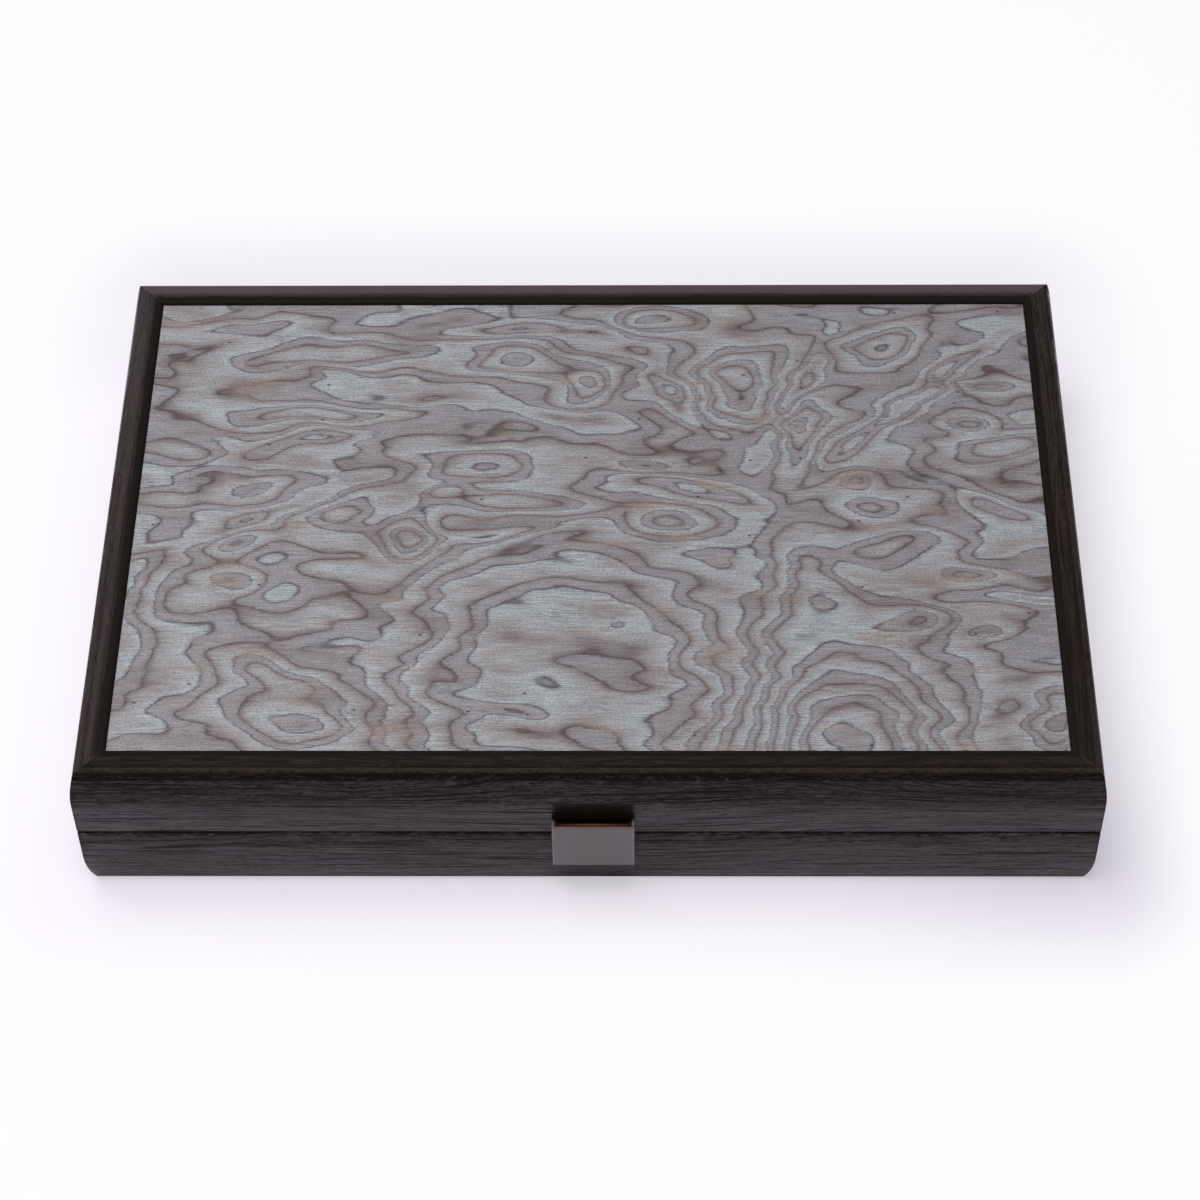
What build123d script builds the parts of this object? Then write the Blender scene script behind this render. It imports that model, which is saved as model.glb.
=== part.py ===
from build123d import *

import os

# A folding backgammon case, closed, with its playing pieces stowed inside.
# Two equal frames of moulded rail meet at a level parting plane. The lower one is the base
# and the upper one is the lid, hinged along the back and held by a clasp at the front.
# The frame's origin is the middle of the case's underside: X runs along the hinge,
# Y from the clasp to the hinge, Z up. All sizes are in millimetres.

# Case
CASE_WIDTH = 380.0
CASE_DEPTH = 254.0
HALF_HEIGHT = 34.0
PARTING = HALF_HEIGHT

# Rail section, in distance in from the outer face and height above the outer rim
WALL = 13.5
SHOULDER_HEIGHT = 17.5
SHOULDER_SETBACK = 3.0
ARRIS = 1.6
LIP_START = 11.5
RECESS = 1.5
GROOVE_BOTTOM = 8.0
EDGE_EASE = 0.9

# Panel sandwich, held in the rails' groove
SKIN = 0.6
CORE = 4.0
PANEL_PLAY = 0.5
FIELD_LEVEL = RECESS + SKIN + CORE + SKIN

# Tongues across the mitres
KEY_SIZE = 8.0
KEY_THICKNESS = 3.0
KEY_HEIGHT = 21.0
KEY_FROM_CORNER = 10.0

# Playing field and rack
RACK_WIDTH = 32.0
DIVIDER_THICKNESS = 5.0
DIVIDER_HOUSING = 3.0
DIVIDER_BELOW_RIM = 0.5
DIVIDER_EASE = 1.2
POINTS_PER_SIDE = 6
POINT_LENGTH = 150.0
POINT_BASE = 27.0

# Hinges
HINGE_SPREAD = 110.0
HINGE_LENGTH = 50.0
HINGE_SEGMENTS = 3
HINGE_AXIS_OUT = 0.5
KNUCKLE_RADIUS = 2.4
KNUCKLE_CLEARANCE = 0.3
KNUCKLE_GAP = 0.2
HINGE_PIN_RADIUS = 1.1
RUNNING_PLAY = 0.05
LEAF_THICKNESS = 1.15
LEAF_DEPTH = 10.0
LEAF_BELOW_RIM = 0.05
HINGE_SCREW_SPREAD = 16.0
HINGE_SCREW_FROM_AXIS = 6.0

# Countersunk screws: radii and length, with twelve flat sides to pass for round
HINGE_SCREW = {"head": 2.0, "shank": 1.1, "length": 9.0}
CLASP_SCREW = {"head": 1.7, "shank": 1.0, "length": 9.0}
SCREW_SIDES = 12
SCREW_LAND = 0.1

# Clasp, in distance out from the front face and height above the underside
CLASP_OFFSET = 2.0
CLASP_WIDTH = 30.5
CLASP_REACH = 6.2
CLASP_SHEET = 1.0
CLASP_BOTTOM = 21.6
CLASP_PIVOT_OUT = 2.9
CLASP_PIVOT_HEIGHT = PARTING + 8.6
CLASP_PIN_RADIUS = 0.9
CHEEK_CORNER = 2.5
CHEEK_GAP = 0.25
FLAP_BEND = 0.8
EAR_RADIUS = 1.9
MOUNT_BOTTOM = PARTING + 1.0
MOUNT_TOP = PARTING + 10.2
MOUNT_SCREW_HEIGHT = PARTING + 4.2
KEEPER_BOTTOM = 10.8
KEEPER_TOP = 31.5
KEEPER_FOOT_WIDTH = 29.9
KEEPER_FOOT_TOP = 21.3
KEEPER_CORNER = 0.8
KEEPER_SCREW_HEIGHT = 17.0
CLASP_SCREW_SPREAD = 9.0
CATCH_WIDTH = 12.0
CATCH_SHEET = 0.9
CATCH_TOP = 28.6
CATCH_OUT = 3.0
CATCH_BEND_HEIGHT = 25.8
CATCH_TIP = 23.4
TONGUE_WIDTH = 10.0
TONGUE_SHEET = 0.6
TONGUE_WELD_TOP = 37.5
TONGUE_WELD_BOTTOM = 30.0
TONGUE_SET_OUT = 4.15
TONGUE_SET_HEIGHT = 28.2
TONGUE_HOOK_HEIGHT = 22.7
TONGUE_TIP_OUT = 1.9
TONGUE_BEND = 0.7

# Playing pieces
CHECKER_RADIUS = 15.0
CHECKER_THICKNESS = 9.0
CHECKER_SIDES = 24
CHECKERS_PER_SIDE = 15
CHECKER_GAP = 0.1
DIE_SIZE = 13.0
DIE_EDGE = 1.0
CUBE_SIZE = 22.0
CUBE_EDGE = 1.5
STOW_GAP = 0.5

# Lengths that follow from the ones above
INSIDE_X = CASE_WIDTH / 2 - WALL
INSIDE_Y = CASE_DEPTH / 2 - WALL
RACK_MIDDLE = -INSIDE_Y + RACK_WIDTH / 2
DIVIDER_MIDDLE = -INSIDE_Y + RACK_WIDTH + DIVIDER_THICKNESS / 2
FIELD_FRONT = DIVIDER_MIDDLE + DIVIDER_THICKNESS / 2
POINT_PITCH = (INSIDE_Y - FIELD_FRONT) / POINTS_PER_SIDE
HINGE_AXIS_Y = CASE_DEPTH / 2 + HINGE_AXIS_OUT
SEGMENT = HINGE_LENGTH / HINGE_SEGMENTS
INNER_WIDTH = CLASP_WIDTH - 2 * CLASP_SHEET - 2 * CHEEK_GAP


def to_lid(shape):
    """The same shape in the lid, mirrored in the parting plane."""
    return mirror(shape, about=Plane.XY.offset(PARTING))


def rounded(face, corners, radius):
    """A flat section with the named corners rounded."""
    chosen = [face.vertices().sort_by_distance((*corner, 0))[0] for corner in corners]
    return fillet(chosen, radius)


def screw(head, shank, length):
    """A countersunk screw with its flat head up at the origin and its shank down."""
    depth = head - shank + SCREW_LAND
    blank = extrude(RegularPolygon(head, SCREW_SIDES), amount=-depth)
    taper = chamfer(blank.faces().sort_by(Axis.Z)[0].edges(), head - shank)
    neck = taper.faces().sort_by(Axis.Z)[0]
    return taper + extrude(neck, amount=length - depth)


# Frame rails


def rail_section():
    """Rounded shoulder outside, lip over the veneered panel, groove for the panel."""
    shoulder = TangentArc((0, SHOULDER_HEIGHT), (SHOULDER_SETBACK, 0), tangent=(0, -1))
    rim = Line(shoulder @ 1, (LIP_START, 0))
    lip = TangentArc(rim @ 1, (WALL, RECESS), tangent=(1, 0))
    inside = Polyline(
        lip @ 1,
        (GROOVE_BOTTOM, RECESS),
        (GROOVE_BOTTOM, FIELD_LEVEL),
        (WALL, FIELD_LEVEL),
        (WALL, HALF_HEIGHT),
        (0, HALF_HEIGHT),
        (0, SHOULDER_HEIGHT),
    )
    section = make_face([shoulder, rim, lip, *inside.edges()])
    section = rounded(section, [(SHOULDER_SETBACK, 0)], ARRIS)
    return rounded(section, [(WALL, HALF_HEIGHT), (0, HALF_HEIGHT)], EDGE_EASE)


def rail(length, distance, turn):
    """One mitred rail of the base, made at the front and turned to its own side."""
    start = Plane(origin=(-length / 2, -distance, 0), x_dir=(0, 1, 0), z_dir=(1, 0, 0))
    bar = extrude(start * rail_section(), amount=length)
    spare = 5.0
    mitre = Polygon(
        (-length / 2 - spare, -distance - spare),
        (length / 2 + spare, -distance - spare),
        (0, length / 2 - distance),
        align=None,
    )
    return (bar & extrude(mitre, amount=HALF_HEIGHT)).rotate(Axis.Z, turn)


def corner_keys():
    """A plywood tongue lying flat across each mitre, hidden in the rails."""
    inward = KEY_FROM_CORNER / 2**0.5
    keys = []
    for side_x in (-1, 1):
        for side_y in (-1, 1):
            x = side_x * (CASE_WIDTH / 2 - inward)
            y = side_y * (CASE_DEPTH / 2 - inward)
            keys.append(Pos(x, y, KEY_HEIGHT) * Rot(Z=45) * Box(KEY_SIZE, KEY_SIZE, KEY_THICKNESS))
    return keys


def rack_divider():
    """The wall between the playing field and the rack, let into both side rails."""
    length = 2 * (INSIDE_X + DIVIDER_HOUSING)
    height = HALF_HEIGHT - DIVIDER_BELOW_RIM - FIELD_LEVEL
    bar = Pos(0, DIVIDER_MIDDLE, FIELD_LEVEL + height / 2) * Box(length, DIVIDER_THICKNESS, height)
    top_edges = bar.faces().sort_by(Axis.Z)[-1].edges().filter_by(Axis.X)
    return fillet(top_edges, DIVIDER_EASE)


def frame_rails():
    """The base's four rails, cut for the mitre tongues and the divider's ends."""
    rails = {
        "front_rail": rail(CASE_WIDTH, CASE_DEPTH / 2, 0),
        "right_rail": rail(CASE_DEPTH, CASE_WIDTH / 2, 90),
        "back_rail": rail(CASE_WIDTH, CASE_DEPTH / 2, 180),
        "left_rail": rail(CASE_DEPTH, CASE_WIDTH / 2, 270),
    }
    for key in corner_keys():
        rails = {name: bar - key for name, bar in rails.items()}
    housing = Pos(0, DIVIDER_MIDDLE, (FIELD_LEVEL + HALF_HEIGHT) / 2) * Box(
        2 * (INSIDE_X + DIVIDER_HOUSING), DIVIDER_THICKNESS, HALF_HEIGHT - FIELD_LEVEL
    )
    for name in ("left_rail", "right_rail"):
        rails[name] -= housing
    return rails


# Panels and the playing field


def panel_layer(bottom, thickness):
    """One layer of the panel, reaching into the rails' grooves."""
    inset = 2 * (GROOVE_BOTTOM + PANEL_PLAY)
    sheet = Box(CASE_WIDTH - inset, CASE_DEPTH - inset, thickness)
    return Pos(0, 0, bottom + thickness / 2) * sheet


def point_inlay(side, number):
    """One long triangle of inlay, its base on a short wall and its tip near the middle."""
    middle = FIELD_FRONT + (number + 0.5) * POINT_PITCH
    outline = Polygon(
        (side * INSIDE_X, middle - side * POINT_BASE / 2),
        (side * INSIDE_X, middle + side * POINT_BASE / 2),
        (side * (INSIDE_X - POINT_LENGTH), middle),
        align=None,
    )
    return Pos(0, 0, FIELD_LEVEL - SKIN) * extrude(outline, amount=SKIN)


def points(first):
    """The points of one colour: every other one along a wall, facing the other colour."""
    sides = [1 if number % 2 == first else -1 for number in range(POINTS_PER_SIDE)]
    return [point_inlay(side, number) for number, side in enumerate(sides)]


# Hinges


def along_x(radius, length, y, z):
    """A cylinder lying along X, centred on X = 0."""
    return Pos(0, y, z) * Rot(Y=90) * Cylinder(radius, length)


def knuckle(radius, length, middle):
    """A length of the hinge's barrel."""
    return Pos(middle, 0, 0) * along_x(radius, length, HINGE_AXIS_Y, PARTING)


def hinge_screws():
    """The three screws of a hinge leaf in the base, before the hinge is set in its place."""
    top = PARTING - LEAF_BELOW_RIM
    y = HINGE_AXIS_Y - HINGE_SCREW_FROM_AXIS
    return [Pos(x, y, top) * screw(**HINGE_SCREW) for x in (-HINGE_SCREW_SPREAD, 0, HINGE_SCREW_SPREAD)]


def hinge_leaf(own, bore):
    """A leaf let into the base's rim, with its own segments of the barrel."""
    top = PARTING - LEAF_BELOW_RIM
    plate = Pos(0, HINGE_AXIS_Y - LEAF_DEPTH / 2, top - LEAF_THICKNESS / 2) * Box(
        HINGE_LENGTH, LEAF_DEPTH, LEAF_THICKNESS
    )
    for number in range(HINGE_SEGMENTS):
        middle = (number - (HINGE_SEGMENTS - 1) / 2) * SEGMENT
        if number not in own:
            plate -= knuckle(KNUCKLE_RADIUS + KNUCKLE_CLEARANCE, SEGMENT + KNUCKLE_GAP, middle)
    for number in own:
        middle = (number - (HINGE_SEGMENTS - 1) / 2) * SEGMENT
        plate += knuckle(KNUCKLE_RADIUS, SEGMENT - KNUCKLE_GAP, middle)
    plate -= knuckle(bore, HINGE_LENGTH + 1, 0)
    for fixing in hinge_screws():
        plate -= fixing
    return plate


def hinge_mortise():
    """What a hinge takes out of the base's back rail: the leaf's bed, the barrel and screw holes."""
    depth = LEAF_BELOW_RIM + LEAF_THICKNESS
    bed = Pos(0, HINGE_AXIS_Y - LEAF_DEPTH / 2, PARTING - depth / 2) * Box(
        HINGE_LENGTH, LEAF_DEPTH, depth
    )
    barrel = knuckle(KNUCKLE_RADIUS + KNUCKLE_CLEARANCE, HINGE_LENGTH + 2 * KNUCKLE_CLEARANCE, 0)
    return [bed, barrel, *hinge_screws()]


# Clasp

CLASP_PLANE = Plane(origin=(CLASP_OFFSET, -CASE_DEPTH / 2, 0), x_dir=(0, -1, 0), z_dir=(-1, 0, 0))


def across(section, width, middle=0.0):
    """A clasp section, drawn as distance out and height, given its width along X."""
    return Pos(middle, 0, 0) * extrude(CLASP_PLANE * section, amount=width / 2, both=True)


def block(low, high):
    """A rectangle of a clasp section between two corners."""
    return Polygon(low, (high[0], low[1]), high, (low[0], high[1]), align=None)


def clasp_screws(height):
    """Two screws through a clasp plate into the front rail, square to it."""
    head = -CASE_DEPTH / 2 - CLASP_SHEET
    fixing = screw(**CLASP_SCREW).rotate(Axis.X, 90)
    return [Pos(CLASP_OFFSET + x, head, height) * fixing for x in (-CLASP_SCREW_SPREAD, CLASP_SCREW_SPREAD)]


def clasp_axle(radius, length):
    """A cylinder along the clasp's pivot."""
    shaft = along_x(radius, length, -CASE_DEPTH / 2 - CLASP_PIVOT_OUT, CLASP_PIVOT_HEIGHT)
    return Pos(CLASP_OFFSET, 0, 0) * shaft


def clasp_flap():
    """The front plate with a cheek folded back down each side, open at top and bottom."""
    back = CLASP_PIVOT_OUT - CHEEK_CORNER
    top = CLASP_PIVOT_HEIGHT + CHEEK_CORNER
    side = rounded(block((back, CLASP_BOTTOM), (CLASP_REACH, top)), [(back, top)], CHEEK_CORNER - 0.01)
    shell = across(side, CLASP_WIDTH)
    folds = shell.edges().filter_by(Axis.Z).group_by(Axis.Y)[0]
    shell = fillet(folds, FLAP_BEND)
    spare = 5.0
    hollow = block((back - spare, CLASP_BOTTOM - spare), (CLASP_REACH - CLASP_SHEET, top + spare))
    shell -= across(hollow, CLASP_WIDTH - 2 * CLASP_SHEET)
    return shell - clasp_axle(CLASP_PIN_RADIUS, CLASP_WIDTH + spare)


def clasp_tongue():
    """A spring strip welded inside the flap, bent to hook under the keeper's catch."""
    inner_face = CLASP_REACH - CLASP_SHEET - TONGUE_SHEET / 2
    path = FilletPolyline(
        (inner_face, TONGUE_WELD_TOP),
        (inner_face, TONGUE_WELD_BOTTOM),
        (TONGUE_SET_OUT, TONGUE_SET_HEIGHT),
        (TONGUE_SET_OUT, TONGUE_HOOK_HEIGHT),
        (TONGUE_TIP_OUT, TONGUE_HOOK_HEIGHT),
        radius=TONGUE_BEND,
    )
    return across(trace(path, TONGUE_SHEET), TONGUE_WIDTH)


def clasp_mount():
    """The lid's plate, with an ear at each end for the pin."""
    plate = across(block((0, MOUNT_BOTTOM), (CLASP_SHEET, MOUNT_TOP)), INNER_WIDTH)
    reach = block(
        (0, CLASP_PIVOT_HEIGHT - EAR_RADIUS), (CLASP_PIVOT_OUT, CLASP_PIVOT_HEIGHT + EAR_RADIUS)
    )
    ear = reach + Pos(CLASP_PIVOT_OUT, CLASP_PIVOT_HEIGHT) * Circle(EAR_RADIUS)
    for side in (-1, 1):
        plate += across(ear, CLASP_SHEET, side * (INNER_WIDTH - CLASP_SHEET) / 2)
    plate -= clasp_axle(CLASP_PIN_RADIUS + RUNNING_PLAY, CLASP_WIDTH)
    for fixing in clasp_screws(MOUNT_SCREW_HEIGHT):
        plate -= fixing
    return plate


def clasp_keeper():
    """The base's plate, wider below the flap, with a catch lanced from its middle and bent down."""
    plate = across(block((0, KEEPER_BOTTOM), (CLASP_SHEET, KEEPER_TOP)), INNER_WIDTH)
    plate += across(block((0, KEEPER_BOTTOM), (CLASP_SHEET, KEEPER_FOOT_TOP)), KEEPER_FOOT_WIDTH)
    low_corners = plate.edges().filter_by(Axis.Y).group_by(Axis.Z)[0]
    plate = fillet(low_corners, KEEPER_CORNER)
    window = block((-1, CATCH_TIP), (CLASP_SHEET + 1, CATCH_TOP))
    plate -= across(window, CATCH_WIDTH)
    path = Polyline(
        (CATCH_SHEET / 2, CATCH_TOP + CATCH_SHEET),
        (CATCH_SHEET / 2, CATCH_TOP),
        (CATCH_OUT, CATCH_BEND_HEIGHT),
        (CATCH_OUT, CATCH_TIP),
    )
    plate += across(trace(path, CATCH_SHEET), CATCH_WIDTH)
    for fixing in clasp_screws(KEEPER_SCREW_HEIGHT):
        plate -= fixing
    return plate


# Playing pieces, stowed on edge in the base's rack


def checkers(start):
    """A row of checkers on edge along the rack, from the given X."""
    outline = RegularPolygon(CHECKER_RADIUS, CHECKER_SIDES)
    disc = Rot(Y=90) * extrude(outline, amount=CHECKER_THICKNESS)
    row = []
    for number in range(CHECKERS_PER_SIDE):
        near_face = start + number * (CHECKER_THICKNESS + CHECKER_GAP)
        row.append(Pos(near_face, RACK_MIDDLE, FIELD_LEVEL + CHECKER_RADIUS) * disc)
    return row


def eased_cube(size, edge, start):
    """A die or the doubling cube on the rack's floor, its near face at the given X."""
    cube = chamfer(Box(size, size, size).edges(), edge)
    return Pos(start + size / 2, RACK_MIDDLE, FIELD_LEVEL + size / 2) * cube


# Assembly


def save(node, pieces):
    """Write one node, as one solid or as a group of separate ones."""
    solids = [solid for piece in pieces for solid in piece.solids()]
    export_step(Compound(solids) if len(solids) > 1 else solids[0], f"parts/{node}.step")


def at_hinges(pieces):
    """The pieces of one hinge, set at both hinges."""
    return [Pos(x, 0, 0) * piece for x in (-HINGE_SPREAD, HINGE_SPREAD) for piece in pieces]


def case_halves():
    """Every piece that the base and the lid share, by name, as it lies in the base."""
    divider = rack_divider()
    rails = frame_rails()
    for cut in at_hinges(hinge_mortise()):
        rails["back_rail"] -= cut
    field_veneer = panel_layer(FIELD_LEVEL - SKIN, SKIN)
    for inlay in [*points(0), *points(1)]:
        field_veneer -= inlay
    return {
        **{name: [bar] for name, bar in rails.items()},
        "corner_keys": corner_keys(),
        "outer_veneer": [panel_layer(RECESS, SKIN)],
        "panel": [panel_layer(RECESS + SKIN, CORE)],
        "field_veneer": [field_veneer],
        "rack_divider": [divider],
        "hinge_screws": at_hinges(hinge_screws()),
    }


os.makedirs("parts", exist_ok=True)

base = case_halves()
lid = {name: [to_lid(piece) for piece in pieces] for name, pieces in base.items()}

# The base's keeper and the lid's mount each have two screws in the front rail
for half, height in ((base, KEEPER_SCREW_HEIGHT), (lid, MOUNT_SCREW_HEIGHT)):
    for fixing in clasp_screws(height):
        half["front_rail"] = [half["front_rail"][0] - fixing]

# A point of one colour in the base continues as the other colour across the hinge
base["dark_points"] = points(0)
base["light_points"] = points(1)
lid["dark_points"] = [to_lid(inlay) for inlay in points(1)]
lid["light_points"] = [to_lid(inlay) for inlay in points(0)]

# The base's leaves grip the hinge pins and the lid's turn on them
base["hinge_leaves"] = at_hinges([hinge_leaf((0, 2), HINGE_PIN_RADIUS)])
lid["hinge_leaves"] = at_hinges([to_lid(hinge_leaf((1,), HINGE_PIN_RADIUS + RUNNING_PLAY))])

for half, pieces_by_name in (("base", base), ("lid", lid)):
    for name, pieces in pieces_by_name.items():
        save(f"{half}_{name}", pieces)

save("hinge_pins", at_hinges([along_x(HINGE_PIN_RADIUS, HINGE_LENGTH, HINGE_AXIS_Y, PARTING)]))

save("clasp_flap", [clasp_flap()])
save("clasp_tongue", [clasp_tongue()])
save("clasp_pin", [clasp_axle(CLASP_PIN_RADIUS, CLASP_WIDTH)])
save("clasp_mount", [clasp_mount()])
save("clasp_mount_screws", clasp_screws(MOUNT_SCREW_HEIGHT))
save("clasp_keeper", [clasp_keeper()])
save("clasp_keeper_screws", clasp_screws(KEEPER_SCREW_HEIGHT))

# The set fills the rack from left to right
checker_row = CHECKERS_PER_SIDE * (CHECKER_THICKNESS + CHECKER_GAP)
dice_start = -INSIDE_X + STOW_GAP + 2 * checker_row + STOW_GAP
dice = [
    eased_cube(DIE_SIZE, DIE_EDGE, dice_start + number * (DIE_SIZE + STOW_GAP)) for number in range(4)
]
cube_start = dice_start + 4 * (DIE_SIZE + STOW_GAP)
save("dark_checkers", checkers(-INSIDE_X + STOW_GAP))
save("light_checkers", checkers(-INSIDE_X + STOW_GAP + checker_row))
save("dark_dice", dice[:2])
save("light_dice", dice[2:])
save("doubling_cube", [eased_cube(CUBE_SIZE, CUBE_EDGE, cube_start)])
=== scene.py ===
# %% [markdown]
# This lesson dresses a folding backgammon case and the set inside it. The case is two shallow
# trays of moulded rail, hinged at the back and closed by a small metal clasp. Its solids could
# be modelled here too, but the frame already holds each of them in its place. So the camera
# comes first, then one finish after another, then the small turned and drilled things that a
# plain solid can't show, and last the floor and the light. Meshes are in metres and finishes
# in millimetres, and MM is one millimetre in metres.

# %% Load the frame
import math

import bmesh
import bpy
from mathutils import Matrix, Vector


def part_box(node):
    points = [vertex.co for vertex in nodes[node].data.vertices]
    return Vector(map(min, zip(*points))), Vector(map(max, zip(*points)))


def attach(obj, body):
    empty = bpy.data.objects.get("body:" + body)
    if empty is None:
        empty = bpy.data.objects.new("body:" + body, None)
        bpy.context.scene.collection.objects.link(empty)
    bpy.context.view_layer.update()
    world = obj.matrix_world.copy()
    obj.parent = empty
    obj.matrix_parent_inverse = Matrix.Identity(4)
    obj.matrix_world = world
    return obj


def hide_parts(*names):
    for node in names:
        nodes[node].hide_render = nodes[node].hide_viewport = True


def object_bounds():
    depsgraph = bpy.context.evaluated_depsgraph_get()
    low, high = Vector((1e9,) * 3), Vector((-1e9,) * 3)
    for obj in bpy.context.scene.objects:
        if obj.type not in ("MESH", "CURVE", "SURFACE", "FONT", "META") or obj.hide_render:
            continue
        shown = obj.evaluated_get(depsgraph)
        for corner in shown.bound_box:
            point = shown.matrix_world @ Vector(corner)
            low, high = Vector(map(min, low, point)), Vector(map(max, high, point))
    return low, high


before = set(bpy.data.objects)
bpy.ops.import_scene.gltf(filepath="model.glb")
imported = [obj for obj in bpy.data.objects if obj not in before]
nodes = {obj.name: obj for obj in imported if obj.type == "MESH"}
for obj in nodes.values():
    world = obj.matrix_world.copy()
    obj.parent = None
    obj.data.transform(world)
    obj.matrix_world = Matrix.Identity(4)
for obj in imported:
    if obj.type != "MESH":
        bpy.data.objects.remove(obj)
solid_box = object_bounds()
MM = 0.001
print("pieces in the frame:", len(nodes), "box:", [[round(v, 4) for v in c] for c in solid_box])

# %% [markdown]
# The photograph looks down at the case from the front with a long lens, nearly in line with
# its middle. A camera could be aimed with a Track To constraint, but that can't hold the small
# roll of the real one, so its three axes are worked out from yaw, pitch and roll.

# %% Set the camera
YAW, PITCH, ROLL = math.radians(1.102), math.radians(51.017), math.radians(-0.887)
CAMERA_PLACE, LENS, SENSOR_WIDTH, VIEW_LIMIT = (0.01867, -0.79703, 0.99908), 94.73, 36.0, 50.0

turned = Matrix.Rotation(YAW, 3, "Z")
ahead = turned @ Vector((0, math.cos(PITCH), -math.sin(PITCH)))
level_right = turned @ Vector((1, 0, 0))
level_up = level_right.cross(ahead)
right = math.cos(ROLL) * level_right + math.sin(ROLL) * level_up
up = math.cos(ROLL) * level_up - math.sin(ROLL) * level_right

camera_data = bpy.data.cameras.new("camera")
camera_data.sensor_width = SENSOR_WIDTH
camera_data.lens = LENS
camera_data.clip_end = VIEW_LIMIT
camera = bpy.data.objects.new("camera", camera_data)
axes = Matrix((right, up, -ahead)).transposed().to_4x4()
camera.matrix_world = Matrix.Translation(CAMERA_PLACE) @ axes
bpy.context.scene.collection.objects.link(camera)
bpy.context.scene.camera = camera
print("camera at", CAMERA_PLACE, "with a lens of", LENS, "mm")

# %% [markdown]
# A procedural finish is a long sum of noises, ramps and masks. Drawn by hand it is a web of
# small nodes. Here one class holds an output socket, and the usual signs add the Math nodes,
# so that a mask reads as it would on paper. Every other kind of node comes from one method.

# %% A socket that can be used in sums
def fill_ramp(colour_ramp, stops):
    """Puts (place, colour) stops on a colour ramp."""
    while len(colour_ramp.elements) < len(stops):
        colour_ramp.elements.new(0.5)
    for element, (place, colour) in zip(colour_ramp.elements, stops):
        element.position = place
        element.color = colour


class Wire:
    """An output socket of a shader node."""

    def __init__(self, socket):
        self.socket = socket

    def node(self, kind, settings=None, inputs=None, out=0):
        """A new node of any kind: its settings first, then its inputs, each a number or a Wire."""
        made = self.socket.id_data.nodes.new(kind)
        for name, value in (settings or {}).items():
            if name == "stops":
                fill_ramp(made.color_ramp, value)
            else:
                setattr(made, name, value)
        for name, value in (inputs or {}).items():
            if isinstance(value, Wire):
                self.socket.id_data.links.new(value.socket, made.inputs[name])
            else:
                made.inputs[name].default_value = value
        return Wire(made.outputs[out])

    def sum(self, operation, *values):
        """A step of Math on values, each a number or a Wire."""
        return self.node("ShaderNodeMath", {"operation": operation}, dict(enumerate(values)))

    def vector(self, operation, *values, out=0):
        """The same for a step of Vector Math."""
        return self.node("ShaderNodeVectorMath", {"operation": operation}, dict(enumerate(values)), out)

    def most(self, other):
        """The greater of two values at each place, which joins two masks."""
        return self.sum("MAXIMUM", self, other)

    def __abs__(self):
        return self.sum("ABSOLUTE", self)

    def __add__(self, other):
        return self.sum("ADD", self, other)

    def __sub__(self, other):
        return self.sum("SUBTRACT", self, other)

    def __rsub__(self, other):
        return self.sum("SUBTRACT", other, self)

    def __mul__(self, other):
        return self.sum("MULTIPLY", self, other)

    __radd__ = __add__
    __rmul__ = __mul__


print("a socket's own steps:", [name for name in vars(Wire) if not name.startswith("_")])

# %% [markdown]
# A finish is put together from a few things: a colour as it looks on a screen, lumps of noise
# measured in mm, a mask that rises from one value to another, a row of colours, a layer laid
# over another, and a bump. Each could be written out wherever it is used, but with a name of
# their own they leave the finishes short enough to read.

# %% Colours, noises and masks
def shade(red, green, blue):
    """A colour as picked on a screen, 0 to 255, turned into the light that it stands for."""
    light = []
    for value in (red / 255, green / 255, blue / 255):
        light.append(value / 12.92 if value <= 0.04045 else ((value + 0.055) / 1.055) ** 2.4)
    return (*light, 1.0)


def noise(at, size, detail=3.0, rough=0.5, move=(0, 0, 0)):
    """Smooth noise from 0 to 1 whose lumps have the given size in mm along x, y and z."""
    scale = [1.0 / value for value in size]
    placed = at.node("ShaderNodeMapping", None, {"Vector": at, "Scale": scale, "Location": move})
    inputs = {"Vector": placed, "Scale": 1.0, "Detail": detail, "Roughness": rough}
    return at.node("ShaderNodeTexNoise", None, inputs)


def between(value, low, high):
    """0 below low, 1 above high, and a smooth step from one to the other."""
    inputs = {"Value": value, "From Min": low, "From Max": high}
    return value.node("ShaderNodeMapRange", {"interpolation_type": "SMOOTHSTEP"}, inputs)


def band(value, low, high, soft):
    """1 from low to high, fading to 0 over a soft edge on either side."""
    return between(value, low - soft, low) * between(value, high + soft, high)


def ramp(value, stops):
    """A colour read from a row of stops."""
    return value.node("ShaderNodeValToRGB", {"stops": stops}, {0: value})


def stops_of(*colours):
    """Colours spread over the middle of a noise, where nearly all of it lies."""
    step = 0.4 / (len(colours) - 1)
    return [(0.3 + step * i, shade(*colour)) for i, colour in enumerate(colours)]


def mix(factor, first, second, blend="MIX"):
    """The second colour laid over the first, as far as the factor says."""
    settings = {"data_type": "RGBA", "blend_type": blend}
    maker = factor if isinstance(factor, Wire) else first
    return maker.node("ShaderNodeMix", settings, {0: factor, 6: first, 7: second}, out=2)


def bump(height, depth):
    """A surface normal from a height of 0 to 1 and its depth in metres."""
    inputs = {"Height": height, "Distance": depth, "Strength": 1.0}
    return height.node("ShaderNodeBump", None, inputs)


print("a mid grey as light:", [round(v, 3) for v in shade(128, 128, 128)])

# %% [markdown]
# Each finish starts from a new material, and reads the piece's own coordinates in
# millimetres. A UV map could carry the pattern as well, but every solid would have to be
# unwrapped first. Object coordinates stay on the piece when it moves, and every piece sits at
# the origin, so neighbours that share a finish also share one unbroken pattern.

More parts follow.
